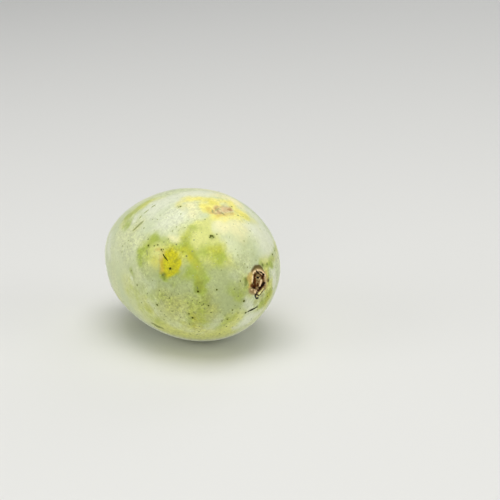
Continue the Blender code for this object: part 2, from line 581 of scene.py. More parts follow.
def scar_relief(tree, across, up):
    """Height over the bare dimple in mm, and masks of 0 to 1 for cracks, ridges and cork."""
    place = pack(tree, across, up, 0.0)
    waver = noise(tree, place, *WAVER_NOISE, output=1) - Vector((0.5, 0.5, 0.5))
    waver_across, waver_up, _ = (waver * OVAL_WAVER).parts()
    wavering = (across + waver_across, up + waver_up)
    crest = share_of_oval(*wavering, SCAR_MIDDLE, COLLAR_RADII)
    collar = COLLAR_HEIGHT * ((crest - 1) / COLLAR_BREADTH).bell()
    socket = SOCKET_DEPTH * share_of_oval(*wavering, SCAR_MIDDLE, SOCKET_RADII).rise(*SOCKET_WALL)
    stub_share = share_of_oval(across, up + waver_up, STUB_MIDDLE, STUB_RADII)
    stub = STUB_HEIGHT * stub_share.rise(*STUB_WALL)
    rings = (stub_share * STUB_RINGS).wave() * STUB_RING_HEIGHT * stub_share.rise(*STUB_RINGS_FADE)
    pit = share_of_oval(across, up, PIT_MIDDLE, PIT_RADII).bell()
    lines, crack, ridge = torn_lines(tree, place + waver * LINE_WAVER)
    cork = crest.rise(*CORK_EDGE)
    crumbs = noise(tree, place, *CRUMB_NOISE) - 0.5
    height = collar - socket + stub + rings - pit * PIT_DEPTH + lines + crumbs * cork * CRUMB_HEIGHT
    return height, pit.at_least(crack), ridge, cork

# %% [markdown]
# ## Grow the skin
# Now the rules are joined: the ball's points go out to the oval, then on by the relief, and the fruit is
# rolled onto its cheek and lifted a little at the stem. Last it is set down, and pressed flat where it
# rests, as its own weight does to the real one.

# %% Build the tree for the form
def lie_down(tree, fruit, size):
    """Turns the fruit to the way it lies, sets it down and presses the small flat that it rests on."""
    spot = position(tree)
    rolled = turn(tree, spot, (1, 0, 0), size["Cheek Roll"])
    laid = move(tree, fruit, turn(tree, rolled, (0, 1, 0), -size["Stem Lift"]))
    box = add_node(tree, "GeometryNodeBoundBox", None, {0: laid})
    lows, highs = box.output("Min"), box.output("Max")
    middle_x, middle_y, _ = ((lows + highs) * 0.5).parts()
    bottom = lows.parts()[2] + size["Flat Depth"]
    down = move(tree, laid, spot - pack(tree, middle_x, middle_y, bottom))
    x, y, z = spot.parts()
    return move(tree, down, pack(tree, x, y, z.at_least(0.0)))

def build_form_tree(material):
    tree, inputs = begin_tree("mango form", ("OUTPUT",), SIZES, COUNTS)
    size = {name: inputs.output(name) for name in (*SIZES, *COUNTS)}
    sockets = {"Segments": size["Segments"], "Rings": size["Rings"], "Radius": 1.0}
    fruit = add_node(tree, "GeometryNodeMeshUVSphere", None, sockets)
    point, outward = body_point(tree, ball_direction(tree, size), size)

    scar_centre, _ = body_point(tree, SCAR_TOWARDS, size)
    offset = turn(tree, point - scar_centre, (1, 0, 0), size["Cheek Roll"]) / MM
    _, across, up = offset.parts()
    near_scar = (point - scar_centre).length().rise(*SCAR_FADE)
    scar_height, crack, ridge, cork = scar_relief(tree, across, up)

    place = point / MM + size["Seed"]
    swell = noise(tree, place, *SWELL_NOISE) - 0.5
    ripple = noise(tree, place, *RIPPLE_NOISE) - 0.5
    relief = swollen(tree, point, size) + swell * SWELL_HEIGHT + ripple * RIPPLE_HEIGHT
    relief = relief + scar_height * near_scar * MM
    for name, value in (("crack", crack), ("ridge", ridge), ("cork", cork)):
        fruit = keep(tree, fruit, name, value * near_scar)
    shaped = move(tree, fruit, point + outward * relief)
    end_tree(tree, lie_down(tree, shaped, size), material)
    return tree

skin_material = bpy.data.materials.new("waxy skin")
skin = grow("skin", build_form_tree(skin_material), {**SIZES, **COUNTS})
skin_places = np.array([vertex.co for vertex in skin.data.vertices])
print("skin, mm:", (np.ptp(skin_places, axis=0) / MM).round(1))

# %% [markdown]
# ## Where the marks go
# Every fruit has its own marks, so each one here is placed one by one, as the stroke of a brush: a few
# pixels of the picture that it runs through, and its half width on the skin in mm. A ray is cast from
# the camera through each pixel to find the place on the skin, so a stroke lies on the fruit and not on
# the picture, and looks right from every side. A stroke on the side that the picture doesn't show is
# placed by its direction from the fruit's middle. The strokes could be drawn inside the material, but a
# material that holds a hundred of them is too big for the renderer. Painting them onto the points of
# the fine skin keeps the material small.

# %% Find a place on the skin
def look_at(x, y):
    """The place on the skin that shows at a pixel, in mm, and the way the skin faces there."""
    middle = IMAGE_SIDE / 2
    ray = Vector(((x - middle) / PIXELS_PER_RADIAN, (middle - y) / PIXELS_PER_RADIAN, -1))
    sight = (camera.matrix_world.to_3x3() @ ray).normalized()
    hit, point, facing, _ = skin.ray_cast(camera.location, sight)
    if not hit:
        raise ValueError(f"no skin shows at pixel {x}, {y}")
    return point / MM, facing

def look_along(towards):
    """The place on the skin in a direction from the fruit's middle, in mm, and how it faces there."""
    _, point, facing, _ = skin.ray_cast(FRUIT_MIDDLE, Vector(towards).normalized())
    return point / MM, facing

def find(mark):
    """The place of a mark that is given as a pixel or as a direction."""
    return look_at(*mark) if len(mark) == 2 else look_along(mark)

class Stroke(NamedTuple):
    """A soft mark: its half width in mm, its strength, and the places that it runs through."""

    half_width: float
    strength: float
    path: tuple

class Layer(NamedTuple):
    """Strokes of one kind, and how soft their edges are: 0 is sharp, 1 fades from the middle out."""

    name: str
    softness: float
    strokes: tuple

def layer_of(name, softness, *rows):
    """A layer from rows, each of a half width, a strength, and the places that a stroke runs through."""
    strokes = tuple(Stroke(half_width, strength, path) for half_width, strength, *path in rows)
    return Layer(name, softness, strokes)

middle_seen, _ = look_at(*FRUIT_PIXEL)
print("the skin before the fruit's middle, mm:", [round(c, 1) for c in middle_seen])

# %% [markdown]
# ## Marks of this fruit
# The wax is thick and whitish at both ends and on top. Over the middle of the cheek it is thin, and the
# skin shows through pale and yellowish. Where it is rubbed off, along the arch on the cheek, beside the
# scar and low down, the skin is green, or yellow where it ripens. The top has a golden streak with a
# pinkish scab in it. The grey and olive layers are painted shade: they darken the wax where less light
# falls, mostly low down. The cream layer is cream wax with painted light on the top of the fruit. Each
# row below is one stroke: its half width, its strength, and its places.

# %% List the strokes on the body
BODY_LAYERS = (
    layer_of("thin wax", 0.95,
        (8.4, 0.9, (151, 250), (160, 253), (176, 254), (194, 252), (212, 254)),
        (6.6, 0.75, (196, 230), (205, 234), (209, 241)), (6, 0.6, (184, 262), (206, 266), (222, 266)),
        (4.2, 0.7, (211, 219), (203, 225), (197, 236)), (5, 0.5, (149, 266), (158, 270)),
        (4, 0.35, (232, 262), (240, 268)), (3.2, 0.6, (246, 218.5), (256, 222)),
        (3.6, 0.7, (244, 278), (247, 294)), (8.6, 0.44, (128, 287), (137, 302), (151, 317), (166, 329)),
        (5, 0.05, (122, 268), (126, 282)), (7, 0.85, (168, 330), (200, 337), (226, 334)),
        (5.5, 0.7, (226, 328), (238, 314)), (3.6, 0.9, (265, 264), (272, 257), (276, 246)),
        (5, 1, (262, 308), (269, 296), (271, 288)), (3.8, 0.65, (146, 204), (152, 201), (161, 199)),
        (4, 0.6, (124, 222), (132, 213), (144, 205)), (2.6, 0.5, (135, 229), (143, 221)),
        (1.8, 0.9, (266.5, 270), (267.5, 288)),
        (14, 0.8, (-0.6, 0.75, 0.5), (0, 0.9, 0.4), (0.5, 0.8, 0.3)),
        (12, 0.8, (-0.7, 0.7, -0.2), (-0.2, 1, -0.3), (0.4, 0.9, -0.3)),
        (9, 0.7, (-0.9, -0.3, -0.4), (-0.5, -0.7, -0.5)),
    ),
    # Painted shade: an olive darkening of the wax, mostly low on the cheek and underneath, where less
    # light falls.
    layer_of("olive painted shade", 0.95,
        (7.6, 0.75, (176, 305), (190, 309), (200, 314)), (8, 0.25, (148, 300), (162, 306)),
        (5, 0.4, (162, 318), (180, 322)), (5.5, 0.14, (156, 294), (166, 296)),
        (4.2, 0.48, (238, 289), (241, 297)), (4.5, 0.3, (180, 276), (196, 276)),
        (4, 0.3, (218, 328), (230, 320)), (5, 0.35, (206, 300), (210, 308)),
        (4, 0.2, (208, 286), (208, 294)), (3.5, 0.7, (264, 302), (270, 292)),
        (2.4, 0.7, (256, 300), (261, 297)), (4, 0.36, (229, 260), (232, 265)),
        (12, 0.7, (-0.2, 0.8, -0.6), (0.4, 0.8, -0.5)), (10, 0.6, (-0.8, 0.3, -0.6), (-0.6, -0.4, -0.7)),
    ),
    # Painted shade: the thin wax greyed where it lies in shade, mostly low in the middle and at the
    # sides.
    layer_of("grey painted shade", 0.95,
        (9, 0.95, (172, 288), (190, 290), (214, 286), (220, 298)),
        (7.6, 0.9, (210, 298), (220, 305), (214, 316)), (7.5, 0.34, (142, 280), (158, 282)),
        (3.8, 0.35, (135, 280), (138, 286)), (5.8, 0.8, (168, 272), (190, 276), (208, 275), (223, 278)),
        (5.2, 0.6, (237, 265), (242, 276), (243, 290)), (4.2, 0.45, (247, 247), (254, 260)),
        (5, 0.45, (128, 242), (130, 266)), (4, 0.35, (119, 244), (121, 256)),
        (4, 0.5, (240, 297), (244, 307)), (3, 0.12, (244, 240), (242, 250)),
        (4, 0.45, (145, 266), (151, 270)), (4, 0.35, (196, 272), (205, 277)),
        (4.5, 0.3, (220, 236), (233, 235)), (12, 0.6, (0.2, 1, 0.2), (0.7, 0.7, 0.1)),
    ),
    layer_of("green", 0.85,
        (3.4, 0.48, (139.5, 262), (140.5, 254), (143.5, 247), (148.5, 240.5), (154.5, 237.5)),
        (2.2, 0.35, (140, 257), (141.5, 251)),
        (3, 0.6, (157, 239), (162, 240.5), (168, 243.5), (176, 246)),
        (3.2, 0.48, (147, 248), (150, 253), (149, 258)), (2.2, 0.2, (141, 264), (143, 269)),
        (2.8, 0.42, (185, 247), (184.5, 240), (187, 233), (190.5, 227)),
        (2.8, 0.25, (194, 227), (200, 229), (207, 230.5)), (2.8, 0.22, (190, 238), (194, 243)),
        (3, 0.6, (187, 248), (192, 254), (197, 263)), (4, 0.4, (180, 252), (186, 258), (190, 265)),
        (3.6, 0.62, (203, 250), (211, 247.5), (218, 250.5), (221, 257)),
        (2.8, 0.3, (211, 251), (218, 255)), (4.5, 0.3, (205, 262), (213, 266), (218, 265)),
        (3.8, 0.62, (182, 276.5), (190, 275), (200, 275)), (3.3, 0.95, (200, 280), (200.5, 290)),
        (2.2, 1, (162.8, 276), (164.6, 279.4)), (1, 0.55, (167, 276.5), (172, 275.5), (177, 272.8)),
        (2, 0.35, (170, 282), (174, 284)), (3.2, 0.4, (154, 298), (160, 296), (166, 298)),
        (1.8, 0.5, (130.5, 269.5), (132, 272.5)), (7.5, 0.42, (136, 293), (144, 305), (153, 316)),
        (6, 0.45, (194, 306), (197, 318), (200, 325)), (3.2, 0.12, (206, 298), (204, 308)),
        (3.8, 0.22, (193, 322), (200, 323)), (3.6, 0.24, (146, 286), (148, 291)),
        (3, 0.3, (222, 253), (226, 256)), (4, 0.25, (186, 318), (184, 326)),
        (3.8, 0.46, (222, 326), (228, 321), (236, 313)), (3, 0.45, (230, 291), (233, 286)),
        (2.6, 0.6, (236, 294), (239, 300)), (3, 0.25, (241, 287), (244, 293)),
        (2, 0.6, (245.5, 279), (247, 287)), (3.4, 0.6, (128, 217), (126.5, 227)),
        (3, 0.5, (134, 212), (139, 208), (145, 203)), (2.6, 0.58, (271, 261), (273, 255), (276, 246)),
        (1.7, 0.6, (260.5, 265), (266, 265.5), (271, 265)),
        (3.4, 0.8, (269.5, 293), (266, 299), (262, 305)), (1.1, 0.6, (268.6, 270), (269, 284)),
        (1.6, 0.3, (272, 268), (273, 272)), (3, 0.25, (240, 214), (252, 222)),
        (5, 0.7, (-0.5, 0.8, 0.2), (-0.2, 0.9, 0.35), (0.1, 0.95, 0.3)),
        (4, 0.6, (0.1, 0.95, 0.3), (0.3, 0.9, 0), (0.25, 0.9, -0.25)),
        (5, 0.7, (-0.7, 0.6, -0.1), (-0.6, 0.7, -0.3)), (4, 0.6, (0.6, 0.7, 0.35), (0.75, 0.6, 0.2)),
        (6, 0.7, (-0.1, 0.75, -0.6), (0.3, 0.7, -0.6)), (4, 0.5, (-0.9, -0.2, 0.35), (-0.8, 0.1, 0.5)),
        (5, 0.5, (-0.6, -0.6, -0.5), (-0.3, -0.7, -0.6)),
    ),
    layer_of("yellow", 0.85,
        (4.2, 1.1, (170.6, 260), (170.6, 266.5)),
        (2.7, 0.75, (166.5, 270.6), (170.6, 270.2), (174.5, 268.4)), (4.6, 0.5, (171, 250), (173, 256)),
        (2.2, 0.35, (174.4, 270.5), (174, 263)), (2.4, 0.3, (156.5, 260), (157.5, 269)),
        (5.5, 0.28, (145, 302), (152, 310)), (5, 0.3, (189, 328), (204, 330)),
        (3, 0.15, (236, 320), (240, 318)), (2.4, 0.45, (165.5, 270), (166, 261)),
        (2.8, 0.36, (182, 250), (188, 257)), (3, 0.25, (186, 234), (188, 244)),
        (3, 0.3, (192, 254), (195, 263)), (3.2, 0.46, (212, 249), (219, 250.5)),
        (2.4, 0.25, (205, 207), (206, 210)), (2.6, 0.3, (237, 212), (239, 215)),
        (2.4, 0.35, (209, 201), (214, 203)), (2.2, 0.25, (178, 204), (180, 207)),
        (5, 0.2, (192, 310), (200, 320)), (3.4, 0.16, (222, 322), (234, 313)),
        (4, 0.25, (204, 264), (216, 262)), (2.4, 0.35, (198, 279), (199, 286)),
        (2.6, 0.4, (266, 302), (269, 294)), (3.2, 0.12, (151, 254), (157, 261)),
        (4.5, 0.8, (0, 0.95, 0.15), (0.1, 0.95, 0)), (3.5, 0.5, (-0.55, 0.75, 0.1), (-0.5, 0.75, 0)),
        (5, 0.35, (-0.7, -0.2, 0.7), (-0.4, 0.2, 0.9)),
    ),
    layer_of("gold", 1.0,
        (3.2, 0.75, (187, 198.5), (202, 199), (216, 200.5), (231, 203)),
        (3.2, 0.8, (203, 205), (207, 206), (214, 205)), (3, 0.6, (204, 209), (209, 210)),
        (3.3, 0.7, (214, 217), (226, 217), (238, 216), (242, 216)), (3.2, 0.7, (233, 207), (240, 211)),
        (2.8, 0.4, (180, 203), (185, 206)), (6, 0.5, (-0.3, 0.4, 0.9), (0.1, 0.5, 0.9)),
    ),
    # Cream wax, with painted light on the top of the fruit, where the lamps fall most.
    layer_of("cream wax and top light", 0.95,
        (5, 0.58, (217, 225), (228, 224.5), (240, 225)), (4, 0.1, (226, 229), (238, 230)),
        (4.2, 0.6, (191, 205), (192, 213)), (2.6, 0.6, (172, 238), (180, 241)),
        (3.6, 0.6, (184, 194), (206, 194), (230, 199)), (3.2, 0.7, (238, 203), (240, 206)),
        (4.2, 0.4, (254, 222), (259, 230)), (3.4, 0.36, (240, 237), (242, 240)),
        (3, 0.3, (220, 260), (223, 264)), (3.6, 0.22, (153, 256), (158, 264)),
        (10, 0.5, (-0.2, 0.3, 1), (0.2, 0.45, 0.9)),
    ),
    layer_of("thick wax", 0.9,
        (6.6, 0.8, (255, 230), (264, 238), (266, 246)),
        (3.8, 0.75, (250, 212), (261, 224), (270, 238), (274, 250)), (4, 0.1, (232, 240), (240, 242)),
        (4, 0.25, (234, 275), (235, 279)), (2.6, 1, (273.5, 273), (274.5, 284)),
        (2.6, 0.6, (246, 301), (250, 306)), (3.6, 0.78, (246, 318.5), (252, 316), (257.5, 313.5)),
        (2.8, 0.7, (236, 328), (246, 323)), (4, 0.38, (217, 320), (213, 327)),
        (10, 0.55, (150, 216), (162, 216), (174, 213)), (6, 0.25, (176, 222), (162, 228)),
        (9, 0.34, (113, 240), (125, 254)), (6, 0.88, (157, 204), (170, 199), (186, 194), (204, 193)),
        (1, 0.7, (131.5, 277.5), (132.5, 279)), (3, 0.5, (110, 236), (109, 256)),
        (3.2, 0.3, (226, 240), (228, 245)), (2.2, 0.5, (136, 216), (134, 221)),
        (9, 0.6, (-0.95, 0.1, 0.1), (-0.8, 0.4, 0.3)),
    ),
    layer_of("flush", 0.85,
        (1.3, 0.55, (161, 257), (161.6, 264), (162.5, 271)), (2.2, 0.6, (220, 215), (232, 213.5)),
        (1.6, 0.45, (159, 249), (163, 252)), (1.8, 0.2, (180, 275), (184, 276)),
        (2, 0.2, (197, 266), (201, 272)), (1.6, 0.5, (208, 208), (211, 213)),
        (2, 0.15, (202, 219), (206, 220)),
        (1.8, 0.85, (251.6, 273.5), (250.8, 277), (250.4, 281), (250.2, 286)),
        (1.3, 0.6, (265.8, 272.5), (267, 279), (266.6, 287)), (4, 0.25, (194, 318), (198, 326)),
        (2.4, 0.5, (0.05, 0.95, 0.05), (0.12, 0.95, -0.05)),
        (3, 0.6, (-0.945, -0.29, 0.02), (-0.95, -0.25, -0.02)),
    ),
    layer_of("scab", 0.9,
        (2.4, 0.55, (216, 209.5), (220, 210.5), (224, 210)), (2.1, 0.8, (225, 209.2), (230, 209.3)),
        (1.3, 0.4, (217, 206), (226, 206.4)), (1.5, 0.4, (213, 212.5), (221, 213.4)),
    ),
    layer_of("scab rind", 0.9,
        (0.7, 0.45, (212.3, 209.5), (213, 212.8)), (1, 0.7, (215.6, 208.5), (217.5, 210.8)),
        (0.7, 0.55, (215, 214), (219, 213)), (0.8, 0.9, (221.3, 213), (223.8, 214.3)),
        (1.1, 0.8, (228.5, 209.6), (230.6, 209.6)), (0.8, 0.4, (218, 206.8), (224, 206.4)),
        (0.7, 0.4, (226, 207.4), (231, 207.4)),
    ),
    layer_of("even wax", 1.0,
        (13, 1, (110, 232), (112, 260), (122, 288), (140, 312)),
        (8, 0.5, (128, 215), (150, 203), (180, 197), (210, 197)), (8, 0.8, (215, 228), (238, 230)),
        (8, 0.9, (252, 218), (262, 236), (262, 256)), (9, 0.7, (214, 275), (232, 280), (226, 300)),
        (5.5, 0.8, (134, 268), (139, 287)), (14, 0.6, (-0.6, 0.75, 0.4), (0.2, 0.9, 0.4)),
    ),
    layer_of("deep green", 0.8,
        (1, 0.5, (170.3, 250)), (1, 0.4, (174.4, 261)), (1.5, 0.75, (163.4, 275.6), (164.6, 278.4)),
        (2.2, 0.6, (199, 283), (198.5, 289)), (1.6, 0.28, (193, 252), (197, 260)),
        (1.3, 0.9, (153, 323.5), (161, 327.5)), (1.2, 0.35, (185, 240), (185, 245)),
        (1.5, 0.45, (212, 238.5)), (1.5, 0.5, (148.4, 245.5)), (1.4, 0.5, (243.9, 300.8)),
        (1.3, 0.9, (246.3, 280.6), (246.4, 283.6)), (1.5, 0.5, (170.2, 268.8)), (1, 0.7, (262.5, 264.5)),
        (1, 0.7, (267, 264)), (0.9, 0.45, (133, 230.5), (138, 226), (143, 221.5)),
        (1.6, 0.3, (236, 288), (238, 292)), (1.6, 0.32, (175.6, 272), (177, 267), (177.4, 259)),
        (3.4, 0.14, (206, 298), (208, 306)), (2.4, 0.3, (207, 298), (207, 303)),
        (2, 0.5, (0.3, 0.9, 0), (0.28, 0.9, -0.1)),
    ),
)
print("strokes on the body:", sum(len(layer.strokes) for layer in BODY_LAYERS))

# %% [markdown]
# ## Painting the points
# Each layer becomes one number on every point of the skin: how near the point is to the layer's strokes.
# A straight stroke with a clean edge looks drawn, so the points and the paths are both pushed aside by
# the same cloudy noise first, in wide swings and in narrow ones. The strokes stay where they belong,
# and only their edges wander. Painting on a picture wrapped round the fruit would be the other way, but
# points need no unwrapping, and they carry the numbers to the material by name.

# %% Paint layers onto the points
POINTS = skin_places / MM
WANDER_SEED = 1
WIDE_SWING = (0.08, 2.0)
NARROW_SWING = (0.30, 1.4)
seed_set(WANDER_SEED)

def pushed(points, per_mm, most):
    """The points, each pushed aside by cloudy noise."""
    return points + np.array([noise_vector(Vector(point) * per_mm) for point in points]) * most

def wander(points):
    return pushed(pushed(points, *WIDE_SWING), *NARROW_SWING)

def stay(points):
    return points

def share_of_width(places, path, half_width):
    """How far each point is from a path, as a share of its half width."""
    nearest = np.full(len(places), np.inf)
    for start, end in zip(path, path[1:] or path):
        along = end - start
        squared = max(along @ along, 1e-9)
        share = np.clip((places - start) @ along / squared, 0, 1)
        apart = np.linalg.norm(places - start - share[:, None] * along, axis=1)
        nearest = np.minimum(nearest, apart)
    return nearest / half_width

def ease(share, softness):
    """1 inside, 0 outside, and a smooth slope between."""
    fall = np.clip((share - 1 + softness) / (2 * softness), 0, 1)
    return 1 - fall * fall * (3 - 2 * fall)

def paint(layer, places, push=stay):
    """Adds up a layer's strokes on the skin's points, and keeps them for the material to read."""
    total = np.zeros(len(places))
    for stroke in layer.strokes:
        path = list(push(np.array([find(mark)[0] for mark in stroke.path])))
        total += ease(share_of_width(places, path, stroke.half_width), layer.softness) * stroke.strength
    skin.data.attributes.new(layer.name, "FLOAT", "POINT").data.foreach_set("value", total)

WANDERED = wander(POINTS)
for layer in BODY_LAYERS:
    paint(layer, WANDERED, wander)
    print(layer.name, "strokes:", len(layer.strokes))

# %% [markdown]
# ## Colours of the scar
# Close to the scar the skin's points are less than a fifth of a millimetre apart, so thin strokes can be
# drawn there too: the dark cracks, the red-brown pocket, the pale crest and the yellow lip beside the
# tear. These strokes don't wander, because they have to lie on the relief.

# %% Paint the scar
SCAR_LAYERS = (
    layer_of("stain", 0.9,
        (1.2, 0.95, (252.8, 270.4), (255.2, 267.4), (259, 266.8), (262, 269)),
        (1, 0.9, (256, 267.8), (260, 267.6), (261.6, 269.2)),
        (0.8, 0.3, (250.3, 288.6), (250.6, 292.5), (253.5, 294.8)),
        (0.75, 1.1, (264.9, 288.4), (263.2, 290.7), (261, 293.2), (259, 295.4)),
        (0.85, 1.1, (268.3, 279.4), (268.2, 280.6)), (0.9, 0.4, (262.6, 264.8)),
    ),
    layer_of("bark", 0.5,
        (3.4, 1, (257.5, 275), (257.5, 284)), (2.4, 1, (254.5, 276), (253.8, 287)),
        (2.6, 1, (261, 275), (262.5, 283)), (2.4, 1, (258.5, 288), (261.5, 287)),
        (1.9, 0.85, (251.4, 290.5), (254, 292), (256.5, 291.5)),
        (1.4, 1, (254, 273), (257, 271), (261, 271.5), (264, 274.5)),
        (0.9, 0.7, (257.5, 292.5), (257, 296)),
    ),
    layer_of("brown", 0.6,
        (0.75, 0.9, (255, 273.3), (253.9, 275.5), (253.8, 278), (253.5, 281)),
        (1.25, 1, (253.6, 281.5), (252.4, 285.5), (253.8, 287.6), (255.2, 286)),
        (0.7, 0.9, (256.4, 271.3), (258.5, 273), (261.3, 274.5), (262.6, 276.4), (262.2, 278)),
        (1, 1, (264, 283.5), (262.3, 285.4), (260.4, 288), (258.6, 289.8), (257, 292)),
        (0.7, 0.8, (257.4, 283.4), (258.6, 286.6)),
        (0.5, 0.8, (255.4, 278.8), (255, 282.4), (255.2, 285)),
        (0.4, 0.8, (259.4, 276.4), (261.2, 275.6), (262.6, 275.6)),
        (0.35, 0.6, (257, 280.6), (258.6, 281.6), (259.6, 281)),
        (0.4, 0.7, (254.8, 275.4), (256.2, 276.2)), (0.8, 0.6, (263.5, 276.5), (264.2, 281)),
        (0.35, 0.5, (250.8, 291), (254, 290.8)), (0.35, 0.5, (251.8, 292.8), (254.6, 292.4)),
    ),
    layer_of("pale lip", 0.6,
        (0.5, 0.9, (253.3, 273.2), (254.6, 271.5), (256, 270.7)),
        (0.5, 1, (257.2, 270.2), (260.4, 270.5), (263.3, 272.5), (265.4, 275.6)),
        (0.34, 0.9, (257.9, 271.8), (260, 272.9), (262.2, 274.6)),
        (0.45, 0.8, (252.6, 276.2), (252.4, 279), (252.2, 281.6)),
        (0.5, 1, (261.2, 280.3), (260.9, 283.5), (259.6, 286.2), (257.8, 288.7)),
        (0.5, 0.6, (258.8, 277.6), (259.6, 278.6)), (0.8, 0.9, (255.2, 291.8), (256.6, 291)),
        (0.6, 0.5, (264.8, 277.5), (265.4, 281), (265, 284)), (0.5, 0.6, (251.6, 289.8), (254.6, 289.6)),
    ),
    layer_of("yellow lip", 0.7,
        (0.36, 0.75, (263.2, 288.4), (262, 290.1), (260.6, 291.9), (259.2, 293.4)),
        (0.5, 1, (259.8, 292.6), (258.8, 293.7)), (0.45, 0.6, (256.9, 296.2), (257, 296.8)),
    ),
    layer_of("black", 0.7,
        (0.6, 1.1, (257.2, 277.3), (258.4, 277.7)),
        (0.42, 1.1, (256.2, 270.8), (257.2, 272.2), (258.6, 273.2)),
        (0.52, 1.2, (260.6, 272.1), (261.4, 272.7)), (0.55, 1.2, (262.9, 273.9), (263.6, 274.6)),
        (0.4, 0.8, (262.6, 276.2), (262.3, 277.2)), (0.75, 1, (264, 283), (263, 284.6)),
        (0.55, 1, (261.5, 286), (259, 289)), (0.6, 0.8, (252.8, 287.3), (254.3, 288)),
        (0.5, 1, (257.8, 290.5), (256.6, 292.8), (255.6, 294.6)),
        (0.55, 1, (255.5, 294.6), (255.2, 297), (256.3, 298.3), (257.9, 298)),
        (0.45, 0.8, (258.4, 295.4), (257.2, 294.6)), (0.5, 0.8, (258.2, 285.8)),
    ),
)
for layer in SCAR_LAYERS:
    paint(layer, POINTS)
    print(layer.name, "strokes:", len(layer.strokes))

# %% [markdown]
# ## The waxy skin
# A mango's skin is green and glossy underneath, and hazed over by a whitish wax that is thick where
# nothing has touched it. So the colours go on in the order that the eye meets them from below: a wax of
# two mixed tones, the layers of the body over it one by one, with painted shade low down and painted
# light on the top among them, a fine uneven mottle, the pores, and the cork of the scar last. Fine noise
# is added to each painted layer before its edge is drawn, so the edge frays finer than the skin's own
# points could show.

# %% Mix the skin's colours
def shade(red, green, blue):
    """A colour as it shows on a screen, 0 to 255, turned into the light that a shader counts in."""
    parts = [part / 255 for part in (red, green, blue)]
    lit = [part / 12.92 if part <= 0.04045 else ((part + 0.055) / 1.055) ** 2.4 for part in parts]
    return (*lit, 1.0)

WAX_COOL = shade(199, 210, 167)
WAX_WARM = shade(217, 222, 171)
PORE = shade(150, 162, 96)

class Coat(NamedTuple):
    """How a painted layer shows: its colour, how much of it, and how far noise frays its edge."""

    name: str
    colour: tuple
    cover: float
    fray: float

BODY_COATS = (
    Coat("thin wax", shade(212, 215, 124), 0.95, 0.60),
    # The grey and olive coats are painted shade; the cream coat is cream wax with painted light on top.
    Coat("grey painted shade", shade(172, 183, 124), 0.95, 0.60),
    Coat("olive painted shade", shade(184, 188, 104), 0.9, 0.65),
    Coat("cream wax and top light", shade(248, 240, 182), 0.9, 0.50),
    Coat("thick wax", shade(226, 230, 204), 0.9, 0.60),
    Coat("gold", shade(248, 236, 112), 0.8, 0.80),
    Coat("green", shade(160, 178, 58), 0.85, 1.00),
    Coat("yellow", shade(200, 194, 0), 1.0, 0.50),
    Coat("deep green", shade(104, 118, 22), 0.8, 0.45),
    Coat("flush", shade(200, 162, 66), 0.8, 0.60),
    Coat("scab", shade(220, 190, 136), 0.9, 0.9),
    Coat("scab rind", shade(160, 120, 62), 0.8, 0.9),
    Coat("halo", shade(120, 136, 40), 0.75, 0.4),
)
SCAR_COATS = (
    Coat("stain", shade(90, 72, 10), 0.95, 0.5),
    Coat("bark", shade(162, 140, 92), 1.0, 1.0),
    Coat("brown", shade(98, 54, 14), 1.0, 0.4),
    Coat("pale lip", shade(248, 218, 168), 1.0, 0.5),
    Coat("yellow lip", shade(244, 240, 160), 1.0, 0.3),
    Coat("black", shade(22, 10, 2), 1.0, 0.3),
)

def painted(tree, name):
    return add_node(tree, "ShaderNodeAttribute", {"attribute_name": name}, output="Fac")

def plain(tree, colour):
    wire = add_node(tree, "ShaderNodeRGB")
    wire.socket.default_value = colour
    return wire

FRAY_PER_AMOUNT = 4
COAT_EDGE = (0.02, 0.98)

def coated(tree, colour, coats, cloud):
    """The colour with each painted layer laid over it in turn."""
    for coat in coats:
        amount = painted(tree, coat.name)
        edge = (amount * FRAY_PER_AMOUNT).at_most(1.0) * coat.fray
        share = (amount + (cloud - 0.5) * edge).rise(*COAT_EDGE)
        colour = colour.mixed(share * coat.cover, coat.colour)
    return colour

print("coats:", len(BODY_COATS), "on the body,", len(SCAR_COATS), "on the scar")

# %% [markdown]
# ## Noises, sheen and bumps
# The noises go from clouds as wide as the cheek down to the grain of cork, each with its own use. The
# mottle is weaker where the wax is thick and where it was wiped even. Wax also scatters light back at
# its edges as fine cloth does, so the skin has a sheen over it. Dry cork has none, and a second, dull
# shader takes its part in the scar. The bumps are tiny and only break up the shine. They could be real
# relief, but at a tenth of a millimetre only the light on them shows.

# %% Build the material of the skin
NOISES = {
    "cloud": (0.035, 3.0, 0.6),
    "rough places": (0.07, 2.0, 0.5),
    "smudge": (0.18, 3.0, 0.55),
    "mottle": (0.40, 4.0, 0.65),
    "flecks": (0.85, 2.0, 0.6),
    "pores": (1.1, 2.0, 0.5),
    "grain": (2.2, 3.0, 0.6),
}
WARM_CLOUDS = (0.3, 0.7)
ROUGH_CLOUDS = (0.38, 0.62)
UNEVEN_LEAST = 0.45
UNEVEN_ROUGH_PLACES = 0.75
UNEVEN_IN_OLIVE_SHADE = 0.5
EVEN_UNDER_COVER = 0.45
EVEN_WIPED = 0.6
MOTTLE_STRENGTH = 0.8
CELLS_PER_MM = 0.30
PORE_EDGE = (0.16, 0.05)
PORE_COVER = 0.30
GREEN_GLOSS = 0.12
PORE_BUMP = 0.10
GRAIN_BUMP = 0.02
BARK_BUMP = 0.3
SCAB_BUMP = 0.1
BUMP_STRENGTH = 0.6
SKIN_ROUGHNESS = 0.55
SKIN_LOOKS = {"Sheen Weight": 0.90, "Sheen Roughness": 0.20, "Specular IOR Level": 0.4}
CORK_LOOKS = {"Roughness": 0.85, "Specular IOR Level": 0.2}

def set_looks(shader, looks):
    for name, value in looks.items():
        shader.inputs[name].default_value = value

